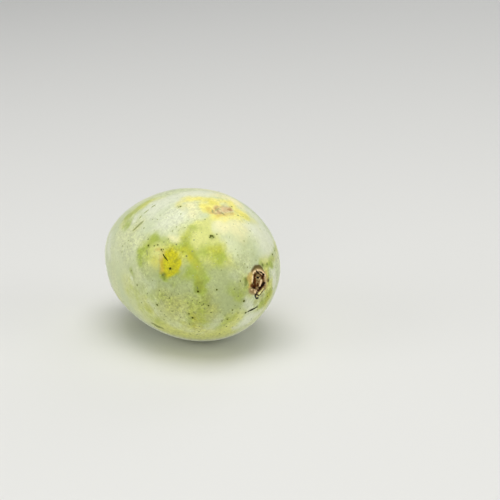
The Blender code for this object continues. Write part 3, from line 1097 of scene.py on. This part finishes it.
def skin_colour(tree, at, noises):
    """The whole colour of the skin, from the wax below to the cork of the scar on top."""
    colour = plain(tree, WAX_COOL).mixed(noises["cloud"].rise(*WARM_CLOUDS), WAX_WARM)
    colour = coated(tree, colour, BODY_COATS, noises["smudge"])
    # Cover counts the cream layer too, which is partly painted light on the top.
    covered = painted(tree, "thick wax") + painted(tree, "cream wax and top light") + painted(tree, "gold")
    rough_places = noises["rough places"].rise(*ROUGH_CLOUDS)
    uneven = UNEVEN_LEAST + rough_places * UNEVEN_ROUGH_PLACES
    # The mottle is stronger under the olive painted shade, low on the cheek where the skin is grainy.
    uneven = uneven + painted(tree, "olive painted shade") * UNEVEN_IN_OLIVE_SHADE
    uneven = uneven * (1 - covered.at_most(1.0) * EVEN_UNDER_COVER)
    uneven = uneven * (1 - painted(tree, "even wax") * EVEN_WIPED)
    tones = (noises["mottle"] - 0.5 + (noises["flecks"] - 0.5)) * MOTTLE_STRENGTH
    colour = colour * (1 + tones * uneven)
    cells = {"Vector": at, "Scale": CELLS_PER_MM}
    pore_far = add_node(tree, "ShaderNodeTexVoronoi", None, cells, "Distance")
    colour = colour.mixed(pore_far.rise(*PORE_EDGE) * PORE_COVER, PORE)
    return coated(tree, colour, SCAR_COATS, noises["grain"])

def skin_bumps(tree, noises):
    bark = painted(tree, "bark").at_most(1.0)
    grain_height = bark * BARK_BUMP + painted(tree, "scab") * SCAB_BUMP + GRAIN_BUMP
    height = noises["pores"] * PORE_BUMP + noises["grain"] * grain_height
    sockets = {"Height": height, "Strength": BUMP_STRENGTH, "Distance": MM}
    return add_node(tree, "ShaderNodeBump", None, sockets)

def build_skin_material(material):
    material.use_nodes = True
    tree = material.node_tree
    at = add_node(tree, "ShaderNodeTexCoord", output="Object") * (1 / MM)
    noises = {name: noise(tree, at, *numbers) for name, numbers in NOISES.items()}
    colour = skin_colour(tree, at, noises)
    bumps = skin_bumps(tree, noises)
    shader = tree.nodes["Principled BSDF"]
    cork = tree.nodes.new("ShaderNodeBsdfPrincipled")
    set_looks(shader, SKIN_LOOKS)
    set_looks(cork, CORK_LOOKS)
    for part in (shader, cork):
        tree.links.new(colour.socket, part.inputs["Base Color"])
        tree.links.new(bumps.socket, part.inputs["Normal"])
    rough = SKIN_ROUGHNESS - painted(tree, "green").at_most(1.0) * GREEN_GLOSS
    tree.links.new(rough.socket, shader.inputs["Roughness"])
    both = {0: painted(tree, "cork"), 1: Wire(tree, shader.outputs[0]), 2: Wire(tree, cork.outputs[0])}
    joined = add_node(tree, "ShaderNodeMixShader", None, both)
    tree.links.new(joined.socket, tree.nodes["Material Output"].inputs["Surface"])

build_skin_material(skin_material)
print("skin material:", len(skin_material.node_tree.nodes), "nodes")

# %% [markdown]
# ## Lenticels and spots
# A mango breathes through lenticels, small corky dots with a paler ring. They are many and faint all
# over, and dark and few where the skin has bruised. Both kinds are the same shape: a low lens, half sunk
# in the skin. Geometry Nodes scatters the faint ones, keeps them apart, and turns each one to face out
# of the skin. The dark ones stand at their own places, with their own widths.

# %% Set a lens on each point
LENS_SEGMENTS = 8
LENS_RINGS = 5
LENS_FACES = LENS_SEGMENTS * LENS_RINGS
LENS_HEIGHT = 0.22

def lens(tree):
    """A ball of radius 1/2 that knows, on each point, how near that point is to its middle."""
    sockets = {"Segments": LENS_SEGMENTS, "Rings": LENS_RINGS, "Radius": 0.5}
    ball = add_node(tree, "GeometryNodeMeshUVSphere", None, sockets)
    x, y, _ = position(tree).parts()
    return keep(tree, ball, "middle", 1 - pack(tree, x, y, 0.0).length() * 2)

def set_lenses(tree, points, facing, width, material):
    """Sets a low lens on each point, as wide as asked, and joins them all into one mesh."""
    rotation = add_node(tree, "FunctionNodeAlignRotationToVector", {"axis": "Z"}, {"Vector": facing})
    scale = pack(tree, width, width, width * LENS_HEIGHT)
    sockets = {"Points": points, "Instance": lens(tree), "Rotation": rotation, "Scale": scale}
    end_tree(tree, add_node(tree, "GeometryNodeInstanceOnPoints", None, sockets), material)

print("a lens has", LENS_FACES, "faces")

# %% [markdown]
# The lens's own middle is dark and its ring is paler. The tone of a lens goes from faint to almost
# black, as it was stored on its point.

# %% Mix the colours of a lens
LENS_FAINT = shade(184, 194, 136)
LENS_OLIVE = shade(92, 98, 18)
LENS_DARK = shade(24, 22, 0)
LENS_LOOKS = {"Roughness": 0.8, "Specular IOR Level": 0.1}
MIDDLE_TONE = 0.4
RING_TONE = -0.3
OLIVE_PER_TONE = 1.8
DARK_TONES = (0.5, 1.0)

def build_lens_material(name):
    material = bpy.data.materials.new(name)
    material.use_nodes = True
    tree = material.node_tree
    shader = tree.nodes["Principled BSDF"]
    core = (painted(tree, "tone") + painted(tree, "middle") * MIDDLE_TONE + RING_TONE).at_least(0.0)
    colour = plain(tree, LENS_FAINT).mixed((core * OLIVE_PER_TONE).at_most(1.0), LENS_OLIVE)
    colour = colour.mixed(core.rise(*DARK_TONES), LENS_DARK)
    tree.links.new(colour.socket, shader.inputs["Base Color"])
    set_looks(shader, LENS_LOOKS)
    return material

lens_material = build_lens_material("lenticel cork")
print("lens material:", len(lens_material.node_tree.nodes), "nodes")

# %% [markdown]
# ## The faint lenticels
# Points are thrown on the skin with a fixed seed, and any that fall too close together are dropped, as
# real lenticels keep their distance. There are none on the cork and none on the flat that the fruit lies
# on. Thick wax hides most of those under it, which is why the wax had to be painted first.

# %% Scatter the faint lenticels
LENTICELS = {
    "Apart": 2.6 * MM,
    "Most Per Square Metre": 52000.0,
    "Least Width": 0.30 * MM,
    "Most Width": 0.72 * MM,
    "Most Tone": 0.3,
    "Hidden By Wax": 0.8,
}
LENTICEL_SEEDS = {"Place Seed": 7, "Width Seed": 12, "Tone Seed": 31}
CORK_CLEAR = (0.15, 0.0)
FLOOR_CLEAR = (0.5 * MM, 2.0 * MM)

def random_number(tree, least, most, seed):
    sockets = {2: least, 3: most, "Seed": seed}
    return add_node(tree, "FunctionNodeRandomValue", {"data_type": "FLOAT"}, sockets, 1)

def build_lenticel_tree(material):
    tree, inputs = begin_tree("lenticels", ("OUTPUT", "INPUT"), LENTICELS, LENTICEL_SEEDS)
    value = {name: inputs.output(name) for name in (*LENTICELS, *LENTICEL_SEEDS)}
    _, _, height = position(tree).parts()
    off_scar = named(tree, "cork").rise(*CORK_CLEAR)
    # Cover counts the cream layer too, which is partly painted light on the top.
    covered = named(tree, "thick wax") + named(tree, "cream wax and top light") + named(tree, "yellow")
    bare = 1 - covered.at_most(1.0) * value["Hidden By Wax"]
    sockets = {
        "Mesh": inputs.output("Geometry"),
        "Distance Min": value["Apart"],
        "Density Max": value["Most Per Square Metre"],
        "Density Factor": off_scar * bare * height.rise(*FLOOR_CLEAR),
        "Seed": value["Place Seed"],
    }
    settings = {"distribute_method": "POISSON"}
    points = add_node(tree, "GeometryNodeDistributePointsOnFaces", settings, sockets)
    tone = random_number(tree, 0.0, value["Most Tone"], value["Tone Seed"])
    width = random_number(tree, value["Least Width"], value["Most Width"], value["Width Seed"])
    set_lenses(tree, keep(tree, points, "tone", tone), points.output("Normal"), width, material)
    return tree

values = {**LENTICELS, **LENTICEL_SEEDS}
lenticels = grow("lenticels", build_lenticel_tree(lens_material), values, skin.data.copy())
print("lenticels:", len(lenticels.data.polygons) // LENS_FACES)

# %% [markdown]
# ## Dark spots of this fruit
# Each spot is a pixel of the picture, a width in mm, and a tone from 0, faint, to 1, almost black. The
# last ones are on the hidden side, and have a direction, of three numbers, in place of a pixel. A soft
# green halo is painted round each, since the skin under a spot stays greener than the rest.

# %% Set the dark spots
class Spot(NamedTuple):
    """The place of a spot, its width in mm, and its tone."""

    mark: tuple
    width: float
    tone: float

SPOT_ROWS = (
    (148.4, 245.5, 1.4, 0.7), (154.3, 245.8, 1, 0.55), (157.8, 244.9, 1, 0.65), (161.3, 249.6, 1.1, 0.7),
    (163.5, 249.5, 0.8, 0.6), (170.2, 268.5, 1.6, 0.85), (210, 237.3, 1.1, 0.6), (210.9, 235.9, 1.4, 0.8),
    (212.6, 236, 1.2, 0.72), (213.6, 237.5, 1, 0.55), (216.8, 234.3, 1, 0.45), (131.3, 270.6, 1.2, 0.4),
    (137.2, 285, 1.1, 0.55), (157.2, 304.8, 1.3, 0.8), (216.8, 289.7, 1.1, 0.75), (189, 313.7, 1.1, 0.7),
    (192.6, 317.8, 1.4, 0.85), (208.5, 305.6, 1.2, 0.65), (203.5, 304, 1.1, 0.55),
    (243.9, 301, 1.5, 0.75), (232.5, 310, 1.1, 0.6), (232.5, 313, 0.8, 0.45), (227.4, 319.2, 1.1, 0.62),
    (222, 321, 1, 0.58), (226.5, 326.5, 1, 0.55), (232.5, 327, 0.8, 0.5), (219.5, 333.5, 1, 0.5),
    (216, 334, 0.7, 0.4), (198, 291.5, 1.4, 0.85), (197.5, 288, 1, 0.55), (186.5, 256, 1.1, 0.5),
    (176.5, 244.5, 1.1, 0.45), (163, 275, 1.2, 0.6), (180.5, 206.5, 1.3, 0.55), (178.6, 207.2, 0.9, 0.45),
    (159.5, 290.5, 1, 0.5), (169.5, 298, 1.1, 0.55), (165, 295, 1, 0.4), (147.5, 293.5, 1.1, 0.35),
    (178.3, 294, 1, 0.4), (192.5, 300.5, 0.8, 0.45), (188, 303, 1, 0.48), (199.5, 302.5, 0.8, 0.55),
    (201.8, 305.3, 0.8, 0.5), (172.5, 311, 1, 0.45), (178, 307, 1.1, 0.3), (161, 311, 0.9, 0.48),
    (164.5, 314.5, 0.8, 0.45), (166, 316.5, 0.8, 0.48), (164, 319.5, 0.8, 0.5), (154.5, 308, 0.8, 0.35),
    (152.5, 280.5, 0.8, 0.4), (159.5, 281.5, 0.8, 0.3), (141.5, 302.5, 1.1, 0.35),
    (180.5, 317.5, 1, 0.35), (189.5, 324, 1.1, 0.48), (186, 320, 0.8, 0.48), (199.5, 326.5, 0.8, 0.45),
    (199, 331.5, 1, 0.42), (190, 334, 1.1, 0.35), (197, 334.5, 1, 0.4), (211, 312.5, 1.1, 0.5),
    (204.5, 308.5, 0.9, 0.4), (245.7, 312.7, 1.3, 0.9), (257, 306.3, 1.1, 0.7), (257.3, 310, 0.8, 0.5),
    (267.3, 296.3, 0.9, 0.85), (272.5, 288, 0.8, 0.4), (272.3, 254.3, 1.2, 0.8), (274.6, 250.5, 0.9, 0.5),
    (247.5, 267.3, 0.9, 0.4), (244.8, 263.9, 0.8, 0.4), (240.5, 281, 1.1, 0.5), (237.8, 255, 0.9, 0.3),
    (250, 231, 0.9, 0.35), (260, 229, 0.8, 0.3), (264, 230, 0.7, 0.3), (244, 241, 1, 0.25),
    (205, 219.5, 1.1, 0.3), (194, 240, 1.2, 0.25), (172.5, 231, 0.9, 0.3), (176.5, 227, 1.1, 0.25),
    (168.5, 239, 0.9, 0.35), (185, 227.5, 0.9, 0.35), (180.8, 214, 1.1, 0.2), (128.5, 240.5, 0.7, 0.5),
    (127.3, 247, 0.7, 0.5), (122.5, 246, 1.1, 0.28), (122, 252, 1.1, 0.28), (125, 243, 0.8, 0.3),
    (152.5, 219.5, 0.9, 0.2), (157.5, 219.5, 0.9, 0.2), (144, 228, 1.2, 0.28), (238, 215.5, 1, 0.45),
    (243, 216.5, 0.8, 0.38), (213, 279, 0.7, 0.25), (262.6, 264.8, 1.1, 0.55), (267, 264, 1, 0.5),
    (235, 305.5, 0.8, 0.4), (148.2, 239.2, 1.1, 0.45), (192.3, 251.3, 1, 0.38), (164, 242, 0.9, 0.38),
    (173.3, 283, 0.9, 0.36), (238, 313, 1, 0.45), (238.2, 296.2, 1.1, 0.45), (234.2, 289.2, 1.1, 0.44),
    (240.2, 308.3, 0.9, 0.42), (225, 315, 0.9, 0.42), (238, 319, 0.9, 0.4), (221.3, 270.2, 0.9, 0.38),
    (138, 255, 1, 0.38), (170.2, 320, 0.9, 0.4), (256, 260.2, 0.8, 0.36), (187, 284.2, 0.8, 0.36),
    (-0.5, 0.7, 0.3, 1.2, 0.6), (-0.2, 0.9, 0.1, 1, 0.7), (0.05, 0.95, 0.1, 1.4, 0.85),
    (0.2, 0.9, -0.2, 1.1, 0.6), (0.45, 0.8, 0.2, 0.9, 0.5), (-0.4, 0.8, -0.3, 1, 0.55),
    (-0.05, 0.8, -0.45, 1.2, 0.7), (0.3, 0.8, -0.45, 0.9, 0.5), (-0.7, 0.5, 0.05, 1, 0.45),
    (-0.75, -0.2, 0.5, 0.9, 0.4), (-0.6, -0.6, -0.3, 1.1, 0.6), (-0.8, -0.1, -0.35, 1, 0.55),
    (-0.3, 0.5, 0.8, 1, 0.4), (0.1, 0.4, 0.9, 0.9, 0.35), (0.6, 0.7, -0.25, 1, 0.6),
    (-0.55, 0.3, 0.7, 0.8, 0.35), (-0.945, -0.28, 0, 1.6, 0.8), (0.35, 0.85, 0.4, 1, 0.45),
)
SPOTS = tuple(Spot(row[:-2], *row[-2:]) for row in SPOT_ROWS)
WIDTH_SEEN = 0.95
HALO_SOFTNESS = 0.95
HALO_WIDTH = 0.85
HALO_STRENGTH = 0.65

def mesh_of_points(name, places, edges, numbers):
    """A mesh of bare points, with the way the skin faces at each of them and other named numbers."""
    mesh = bpy.data.meshes.new(name)
    mesh.from_pydata([point * MM for point, _ in places], edges, [])
    facings = [part for _, facing in places for part in facing]
    mesh.attributes.new("facing", "FLOAT_VECTOR", "POINT").data.foreach_set("vector", facings)
    for title, column in numbers.items():
        mesh.attributes.new(title, "FLOAT", "POINT").data.foreach_set("value", column)
    return mesh

def build_spot_tree(material):
    tree, inputs = begin_tree("spots", ("OUTPUT", "INPUT"), {}, {})
    facing = named(tree, "facing", "FLOAT_VECTOR")
    set_lenses(tree, inputs.output("Geometry"), facing, named(tree, "width"), material)
    return tree

def set_spots():
    widths = [spot.width * WIDTH_SEEN * MM for spot in SPOTS]
    numbers = {"width": widths, "tone": [spot.tone for spot in SPOTS]}
    mesh = mesh_of_points("spots", [find(spot.mark) for spot in SPOTS], [], numbers)
    return grow("spots", build_spot_tree(lens_material), {}, mesh)

halos = [(spot.width * HALO_WIDTH, spot.tone * HALO_STRENGTH, spot.mark) for spot in SPOTS]
paint(layer_of("halo", HALO_SOFTNESS, *halos), POINTS)
spots = set_spots()
print("spots:", len(SPOTS))

# %% [markdown]
# ## Scratches
# A twig or a thumbnail scratches the skin, and the scratch heals into a thin raised cord of cork. Each
# cord is a path laid on the skin, thick in its middle and thin at its ends, with a round section half
# sunk in the skin. It could be a ridge of the skin itself, but the skin's points are too far apart for
# so thin a line. Each row below is one scratch: its width in mm, its tone, and its places.

# %% Lay the scratches
SCRATCHES = (
    (0.95, 0.95, (247.2, 312.2), (249.5, 310.6), (252.5, 309.2), (256.6, 307.2)),
    (0.5, 0.6, (256.9, 308.2), (257.2, 305.6)),
    (0.85, 0.75, (162.8, 253.8), (164.2, 256.2), (166, 258.4), (167.9, 260.9)),
    (0.5, 0.45, (161.6, 250.2), (162.6, 252.2)),
    (0.8, 0.3, (133, 230.6), (136.5, 227.6), (140, 224.3), (143.6, 221)),
    (0.6, 0.2, (139.3, 218.8), (142, 215.4)), (0.6, 0.22, (143.8, 213.8), (146.6, 211.4), (149, 209.5)),
    (0.6, 0.25, (151.4, 207.6), (153.5, 206.2), (155.6, 204.8)),
    (0.8, 0.3, (153.6, 324.2), (157, 326.3), (160.6, 327.9)),
    (0.7, 0.3, (146.8, 250), (147.2, 253), (147.3, 256)),
    (0.6, 0.2, (212, 209.6), (212.4, 211.4), (213.4, 213.2)),
    (0.6, 0.15, (215.4, 211.2), (216.8, 209.4), (219.2, 208.2)),
    (0.6, 0.25, (220.6, 212.4), (222.2, 213.4), (223.9, 214.6)),
    (0.6, 0.45, (230.4, 206), (232.8, 207.2)), (0.5, 0.4, (174, 310.8), (170.8, 311.2)),
    (0.5, 0.3, (162, 296), (165.6, 295.2), (168.6, 297)),
    (0.6, 0.35, (-0.3, 0.85, 0.25), (-0.2, 0.88, 0.22), (-0.12, 0.9, 0.16)),
    (0.6, 0.35, (-0.7, 0.4, -0.1), (-0.68, 0.45, -0.22)),
)
STEPS = 8
SECTION_SIDES = 8
THINNEST = 0.05
UNEVEN_PER_MM = 1.4
CORD_MIDDLE = 0.6

def step_along(path):
    """More marks between those of a path, evenly spaced."""
    finer = []
    for start, end in zip(path, path[1:]):
        for step in range(STEPS):
            finer.append(tuple(a + (b - a) * step / STEPS for a, b in zip(start, end)))
    return finer + [path[-1]]

def build_scratch_tree(material):
    tree, inputs = begin_tree("scratches", ("OUTPUT", "INPUT"), {}, {})
    paths = add_node(tree, "GeometryNodeMeshToCurve", None, {"Mesh": inputs.output("Geometry")})
    share = add_node(tree, "GeometryNodeSplineParameter", output="Factor")
    taper = (share * (1 - share) * 4).at_least(THINNEST) ** 0.5
    uneven = noise(tree, position(tree) / MM, UNEVEN_PER_MM, 1.0) + 0.5
    radius = named(tree, "width") * taper * uneven * 0.5
    circle = {"Resolution": SECTION_SIDES, "Radius": 1.0}
    section = add_node(tree, "GeometryNodeCurvePrimitiveCircle", None, circle)
    sockets = {"Curve": paths, "Profile Curve": section, "Scale": radius, "Fill Caps": True}
    cords = add_node(tree, "GeometryNodeCurveToMesh", None, sockets)
    end_tree(tree, keep(tree, cords, "middle", CORD_MIDDLE), material)
    return tree

def lay_scratches():
    places, edges, widths, tones = [], [], [], []
    for width, tone, *path in SCRATCHES:
        marks = step_along(path)
        first = len(places)
        places.extend(find(mark) for mark in marks)
        edges.extend((first + i, first + i + 1) for i in range(len(marks) - 1))
        widths.extend([width * MM] * len(marks))
        tones.extend([tone] * len(marks))
    mesh = mesh_of_points("scratches", places, edges, {"width": widths, "tone": tones})
    return grow("scratches", build_scratch_tree(lens_material), {}, mesh)

scratches = lay_scratches()
print("scratches:", len(SCRATCHES))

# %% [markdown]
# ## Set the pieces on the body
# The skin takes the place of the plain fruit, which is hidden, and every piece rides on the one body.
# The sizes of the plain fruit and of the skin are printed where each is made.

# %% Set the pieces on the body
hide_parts("mango")
for piece in (skin, lenticels, spots, scratches):
    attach(piece, "root")
